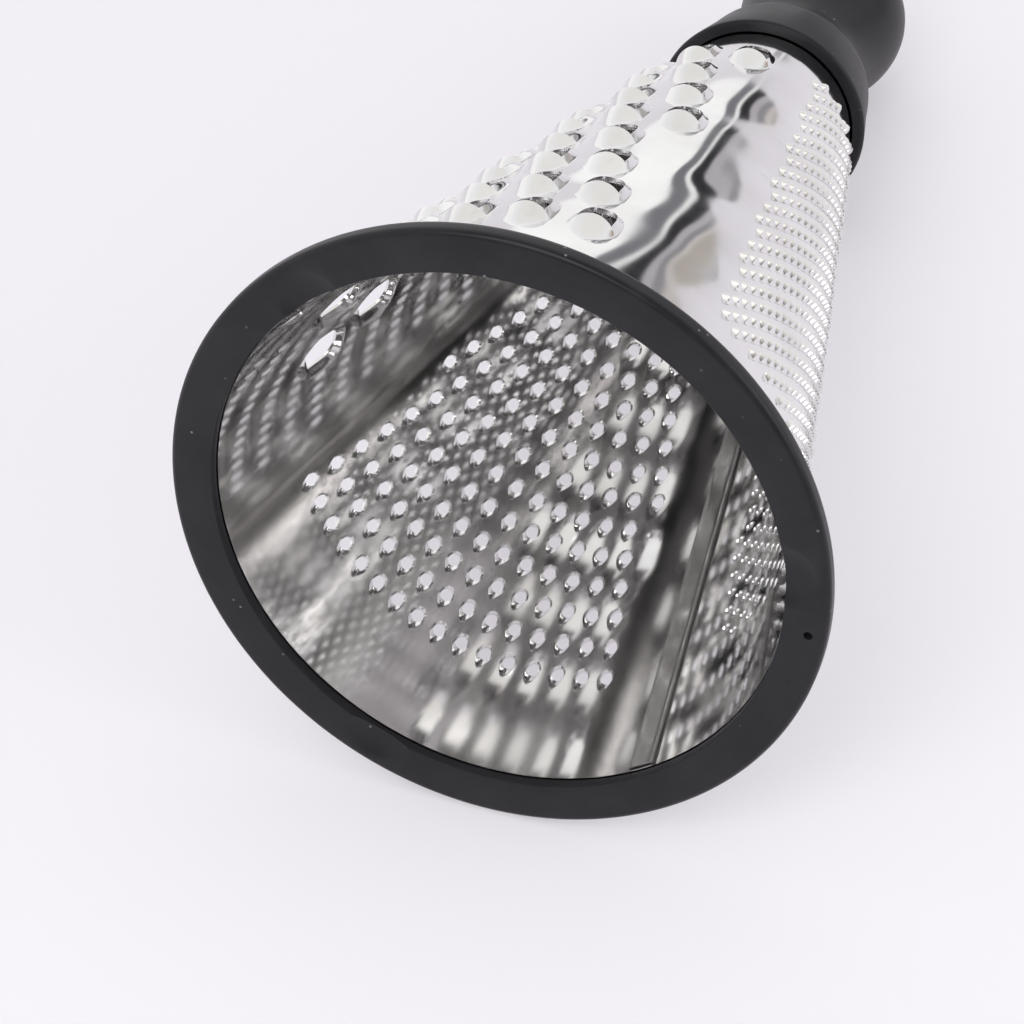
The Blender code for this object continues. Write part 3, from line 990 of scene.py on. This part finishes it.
@dataclass
class BaseRing:
    """The moulded ring round the mouth, with its thumb dishes and gate pit."""

    outer_radius: float = 60.0 * MM
    height: float = 4.6 * MM
    lip_height: float = 2.0 * MM
    lip_cover: float = 0.2 * MM
    rounding: float = 2.2 * MM
    face_rounding: float = 1.2 * MM
    steps: int = 240
    dish_angles: tuple[float, ...] = (16.4, 136.6, 254.8)
    dish_radius: float = 6.0 * MM
    dish_depth: float = 1.1 * MM
    pit_angle: float = 28.0
    pit_radius: float = 0.8 * MM
    pit_depth: float = 1.2 * MM
    pit_inset: float = 3.2 * MM
    lip_edge: float = 0.25 * MM

    @property
    def lip_radius(self) -> float:
        """Radius of the lip that covers the sheet's cut edge."""
        return CONE.outer(CONE.bottom_z) - self.lip_cover

    def profile(self) -> Profile:
        """Draw the ring's section.

        Returns:
            Its points, in order.
        """
        back = (self.outer_radius - self.rounding, self.height - self.rounding)
        front = (self.outer_radius - self.face_rounding, self.face_rounding)
        lip = (self.lip_radius + self.lip_edge, self.lip_edge)
        return (
            [(CONE.outer(self.height) + FIT_GAP, self.height)]
            + arc(back, self.rounding, 90, 0, 10)
            + arc(front, self.face_rounding, 0, -90, 8)
            + arc(lip, self.lip_edge, -90, -180, 4)
            + [(self.lip_radius, self.lip_height), (CONE.outer(self.lip_height) + FIT_GAP, self.lip_height)]
        )

    def dish_tools(self) -> list[Object]:
        """Make what is cut out of the ring's lower face.

        Returns:
            Spheres for the dishes and a pin for the pit.
        """
        ball = (self.dish_radius ** 2 + self.dish_depth ** 2) / (2 * self.dish_depth)
        dishes, pit = bmesh.new(), bmesh.new()
        for angle in self.dish_angles:
            spot = polar(self.lip_radius, radians(angle), self.dish_depth - ball)
            bmesh.ops.create_uvsphere(
                dishes, u_segments=48, v_segments=48, radius=ball, matrix=Matrix.Translation(spot),
            )
        spot = polar(self.outer_radius - self.pit_inset, radians(self.pit_angle), 0.0)
        bmesh.ops.create_cone(
            pit, cap_ends=True, segments=20, radius1=self.pit_radius, radius2=self.pit_radius,
            depth=2 * self.pit_depth, matrix=Matrix.Translation(spot),
        )
        tools = {"dish_tool": dishes, "pit_tool": pit}
        return [add_object(name, make_mesh(bm, name)) for name, bm in tools.items()]

    def build(self, finishes: Finishes) -> Object:
        """Make the ring.

        Args:
            finishes: the object's materials.

        Returns:
            The ring.
        """
        piece = make_piece(turned(self.profile(), self.steps), "mouth_ring", finishes.plastic)
        carve(piece, self.dish_tools())
        piece.data.set_sharp_from_angle(angle=radians(SHARP))
        return settle(piece, "black_plastic", "base_ring")


@dataclass
class Grip:
    """The hollow knob over the cone's narrow end."""

    skirt: float = 14.0 * MM
    wall: float = 2.4 * MM
    neck_radius: float = 14.0 * MM
    neck_rise: float = 15.0 * MM
    bulb_radius: float = 18.5 * MM
    bulb_rise: float = 38.0 * MM
    top_rise: float = 54.0 * MM
    edge: float = 0.9 * MM
    boss_radius: float = 6.4 * MM
    boss_z: float = 170.5 * MM
    bore_radius: float = 3.9 * MM
    bore_end: float = 184.8 * MM
    points: int = 14
    steps: int = 128

    def sweep(self, start: Pair, end: Pair) -> Profile:
        """Draw a smooth S between two points of the profile.

        Args:
            start: the first point.
            end: the last point.

        Returns:
            The curve's points, without its start.
        """
        made = []
        for index in range(1, self.points):
            share = index / (self.points - 1)
            blend = (1 - cos(pi * share)) / 2
            made.append((start[0] + (end[0] - start[0]) * blend, start[1] + (end[1] - start[1]) * share))
        return made

    def outline(self) -> Profile:
        """Draw the outside.

        Returns:
            Its points, from the top on the axis down to the skirt's edge.
        """
        skirt_z = CONE.top_z - self.skirt
        skirt_radius = CONE.outer(skirt_z) + FIT_GAP + self.wall
        shoulder = (CONE.outer(CONE.top_z) + FIT_GAP + self.wall, CONE.top_z)
        neck = (self.neck_radius, CONE.top_z + self.neck_rise)
        bulb = (self.bulb_radius, CONE.top_z + self.bulb_rise)
        rise = self.top_rise - self.bulb_rise
        dome = [
            (bulb[0] * cos(turn), bulb[1] + rise * sin(turn))
            for turn in (pi / 2 * (1 - index / (self.points - 1)) for index in range(self.points))
        ]
        dome[0] = (0.0, dome[0][1])
        rolled = arc((skirt_radius - self.edge, skirt_z + self.edge), self.edge, 0, -90, 5)
        return dome + self.sweep(bulb, neck) + self.sweep(neck, shoulder) + rolled

    def inside(self) -> Profile:
        """Draw the hollow.

        Returns:
            Its points, from the skirt's edge up and round the boss to the axis.
        """
        skirt_z, shoulder_z = CONE.top_z - self.skirt, CONE.top_z + FIT_GAP
        roof_z = CONE.top_z + self.bulb_rise
        ledge = min(CONE.inner(CONE.top_z), self.neck_radius) - self.wall
        return [
            (CONE.outer(skirt_z) + FIT_GAP, skirt_z), (CONE.outer(shoulder_z) + FIT_GAP, shoulder_z),
            (ledge, shoulder_z), (ledge, roof_z), (self.boss_radius, roof_z), (self.boss_radius, self.boss_z),
            (self.bore_radius, self.boss_z), (self.bore_radius, self.bore_end), (0.0, self.bore_end),
        ]

    def build(self, finishes: Finishes) -> Object:
        """Make the grip."""
        bm = turned(self.outline() + self.inside(), self.steps, closed=False)
        return settle(make_piece(bm, "grip_knob", finishes.plastic), "black_plastic", "grip")


class GripFixing:
    """The plate, washer, screw and insert inside the narrow end, kept from the CAD part."""

    def build(self, finishes: Finishes) -> list[Object]:
        """Dress the CAD solids.

        Args:
            finishes: the object's materials.

        Returns:
            The four pieces.
        """
        dressed = []
        for node, material in (
            ("top_plate", finishes.pressed), ("screw_washer", finishes.fastener),
            ("grip_screw", finishes.fastener), ("threaded_insert", finishes.brass),
        ):
            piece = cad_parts[node]
            piece.data.materials.clear()
            piece.data.materials.append(material)
            dressed.append(piece)
        return dressed


@dataclass(frozen=True)
class PhotoCamera:
    """The photograph's camera, fitted to the ring and the holes."""

    place: Triple = (0.25530, -0.22508, -0.40718)
    right: Triple = (0.8704, 0.3571, 0.3391)
    up: Triple = (0.13486, -0.83505, 0.53338)
    ahead: Triple = (-0.47361, 0.41850, 0.77495)
    lens: float = 109.07
    sensor: float = 36.0
    clip: Pair = (0.01, 30.0)

    def build(self) -> None:
        """Make the camera and use it."""
        camera = add_object("photo_camera", bpy.data.cameras.new("photo_camera"))
        camera.data.lens = self.lens
        camera.data.sensor_width = self.sensor
        camera.data.clip_start, camera.data.clip_end = self.clip
        back = -Vector(self.ahead)
        camera.matrix_world = Matrix((self.right, self.up, back)).transposed().to_4x4()
        camera.location = self.place
        bpy.context.scene.camera = camera


@dataclass(frozen=True)
class Studio:
    """A pale table under the lying cone, soft lights round it, and a pale floor for upright views."""

    contact_angle: float = 114.0
    ring_radius: float = 60.0 * MM
    bulb_radius: float = 18.5 * MM
    bulb_z: float = 218.0 * MM
    ring_z: float = 2.4 * MM
    table_half: float = 1.1
    floor_half: float = 1.5
    floor_gap: float = 0.1 * MM
    middle: Triple = (0.0, 0.0, 0.08)
    table_colour: Triple = (0.9, 0.87, 0.92)
    daylight: Triple = (0.72, 0.72, 0.73)
    backdrop: Triple = (0.93, 0.9, 0.95)
    backdrop_share: float = 0.4
    streaks: tuple[tuple[float, Triple], ...] = (
        (0.56, (0.5, 0.46, 0.42)), (0.51, (0.62, 0.58, 0.57)), (0.485, (0.3, 0.29, 0.31)),
        (0.455, (0.5, 0.48, 0.51)), (0.42, (0.03, 0.03, 0.035)), (0.37, (0.95, 0.95, 0.95)),
        (0.35, (0.2, 0.2, 0.22)), (0.305, (1.1, 1.1, 1.1)),
    )
    streak_edge: float = 0.012
    shade: Triple = (0.42, 0.41, 0.42)
    beige: Triple = (0.5, 0.42, 0.34)
    overhead: Triple = (1.0, 1.0, 1.02)
    haze: Triple = (0.96, 0.95, 0.93)
    ceiling: Triple = (0.78, 0.75, 0.71)
    near_side: Triple = (0.14, 0.135, 0.14)

    def table_normal(self) -> Vector:
        """Away from the table that the ring and the grip both touch."""
        slope = atan((self.ring_radius - self.bulb_radius) / (self.bulb_z - self.ring_z))
        return -polar(cos(slope), radians(self.contact_angle), sin(slope))

    def axes(self) -> tuple[Vector, Vector, Vector]:
        """Find the table's directions as the camera sees them.

        Returns:
            Right, away and up.
        """
        up = self.table_normal()
        ahead = Vector(PhotoCamera().ahead)
        away = (ahead - up * ahead.dot(up)).normalized()
        return away.cross(up).normalized(), away, up

    def table_point(self) -> Vector:
        """Where the ring touches the table."""
        return polar(self.ring_radius, radians(self.contact_angle), self.ring_z)

    def pale_material(self, name: str) -> Material:
        """A pale matt surface that only shows from its front, part lit and part the plain backdrop.

        Args:
            name: the material's name.

        Returns:
            The material.
        """
        nodes = FinishNodes(name)
        nodes.dress(Base_Color=self.table_colour, Roughness=0.75, Specular_IOR_Level=0.2)
        seen = nodes.add("LightPath", "Is Camera Ray", {})
        for kind in ("Is Glossy Ray", "Is Transmission Ray"):
            ray = nodes.add("LightPath", kind, {})
            seen = nodes.add("Math", "Value", {0: seen, 1: ray}, operation="MAXIMUM")
        plain = nodes.add("Emission", "Emission", {"Color": self.backdrop})
        front = nodes.choose(nodes.times(seen, self.backdrop_share), nodes.shader.outputs["BSDF"], plain)
        clear = nodes.add("BsdfTransparent", "BSDF", {})
        side = nodes.add("NewGeometry", "Backfacing", {})
        nodes.feed(nodes.tree.nodes["Material Output"].inputs["Surface"], nodes.choose(side, front, clear))
        return nodes.material

    def surface(self, name: str, matrix: Matrix, half: float) -> Object:
        """Add a square stage surface.

        Args:
            name: the surface's name.
            matrix: its place.
            half: half its side.

        Returns:
            The surface.
        """
        bm = bmesh.new()
        bmesh.ops.create_grid(bm, x_segments=1, y_segments=1, size=half, matrix=matrix)
        item = add_object(name, make_mesh(bm, name))
        item.data.materials.append(self.pale_material(name))
        return item

    @staticmethod
    def lamp(name: str, spot: Vector, target: Vector, size: Pair, watts: float) -> None:
        """Add a soft rectangular light.

        Args:
            name: the lamp's name.
            spot: its place.
            target: the point that it faces.
            size: its sides.
            watts: its power.
        """
        data = bpy.data.lights.new(name, "AREA")
        data.shape = "RECTANGLE"
        data.size, data.size_y = size
        data.energy = watts
        item = add_object(name, data)
        item.location = spot
        item.rotation_mode = "QUATERNION"
        item.rotation_quaternion = (target - spot).to_track_quat("-Z", "Y")

    def room(self, nodes: Nodes) -> NodeSocket:
        """The room that the steel mirrors: a streaky horizon, a pale ceiling and a dark near side.

        Args:
            nodes: the world's tree.

        Returns:
            The room's colour.
        """
        right, _, up = self.axes()
        lift = nodes.add("VectorMath", "Vector", {0: nodes.place, 1: up}, operation="PROJECT")
        level = nodes.add("VectorMath", "Vector", {0: nodes.place, 1: lift}, operation="SUBTRACT")
        panels = [
            nodes.ramp(nodes.noise(scale, 1.0, 0.5, level), low, high)
            for scale, low, high in ((9.0, 0.44, 0.56), (5.0, 0.5, 0.6))
        ]
        room = nodes.blend(panels[0], self.shade, nodes.blend(panels[1], self.overhead, self.beige))
        layers = [(right, start, start - self.streak_edge, colour) for start, colour in self.streaks]
        layers += [(up, 0.12, 0.4, self.overhead), (up, 0.42, 0.6, self.haze), (up, 0.72, 0.86, self.ceiling)]
        layers.append((-Vector(PhotoCamera().ahead), 0.3, 0.75, self.near_side))
        for axis, low, high, colour in layers:
            lean = nodes.ramp(nodes.dot(nodes.place, axis), low, high, interpolation_type="SMOOTHSTEP")
            room = nodes.blend(lean, room, colour)
        return room

    def sky(self) -> None:
        """Plain where the camera looks, a room where the steel mirrors it, and even light for the rest."""
        world = bpy.data.worlds.new("studio")
        bpy.context.scene.world = world
        world.use_nodes = True
        nodes = Nodes(world.node_tree, "Generated")
        even = nodes.tree.nodes["Background"]
        nodes.feed(even.inputs["Color"], self.daylight)
        shown = even.outputs["Background"]
        for ray, colour in (("Is Glossy Ray", self.room(nodes)), ("Is Camera Ray", self.backdrop)):
            surface = nodes.add("Background", "Background", {"Color": colour})
            shown = nodes.choose(nodes.add("LightPath", ray, {}), shown, surface)
        nodes.feed(nodes.tree.nodes["World Output"].inputs["Surface"], shown)

    def build(self) -> None:
        """Set out the stage and the lights."""
        right, away, up = self.axes()
        table = Matrix((right, away, up)).transposed().to_4x4()
        table.translation = self.table_point()
        self.surface("table", table, self.table_half)
        below = Matrix.Translation((0.0, 0.0, -self.floor_gap))
        ground = self.surface("upright_floor", below, self.floor_half)
        ground.visible_glossy = ground.visible_diffuse = False
        ground.visible_shadow = ground.visible_transmission = False
        middle = Vector(self.middle)
        front = middle - away * 0.1
        self.lamp("key", front - right * 0.3 + up * 0.65 - away * 0.4, front, (0.4, 0.4), 2.2)
        self.lamp("top", middle + up * 1.1 + away * 0.5, middle, (1.0, 0.5), 0.8)
        self.lamp("fill", middle + right * 0.9 + up * 0.5 - away * 0.3, middle, (0.5, 0.7), 2.2)
        self.sky()
        bpy.context.scene.view_settings.view_transform = "Standard"


def main() -> None:
    """Build every sub-assembly in turn and report each piece."""
    logging.basicConfig(level=logging.INFO, format="%(name)s: %(message)s")
    PhotoCamera().build()
    finishes = Finishes()
    made = [
        GratingSheet().build(finishes), LockSeam().build(finishes), BaseRing().build(finishes),
        Grip().build(finishes), *GripFixing().build(finishes),
    ]
    for piece in made:
        LOG.info("%s: %d faces", piece.name, len(piece.data.polygons))
    Studio().build()


if __name__ == "__main__":
    main()
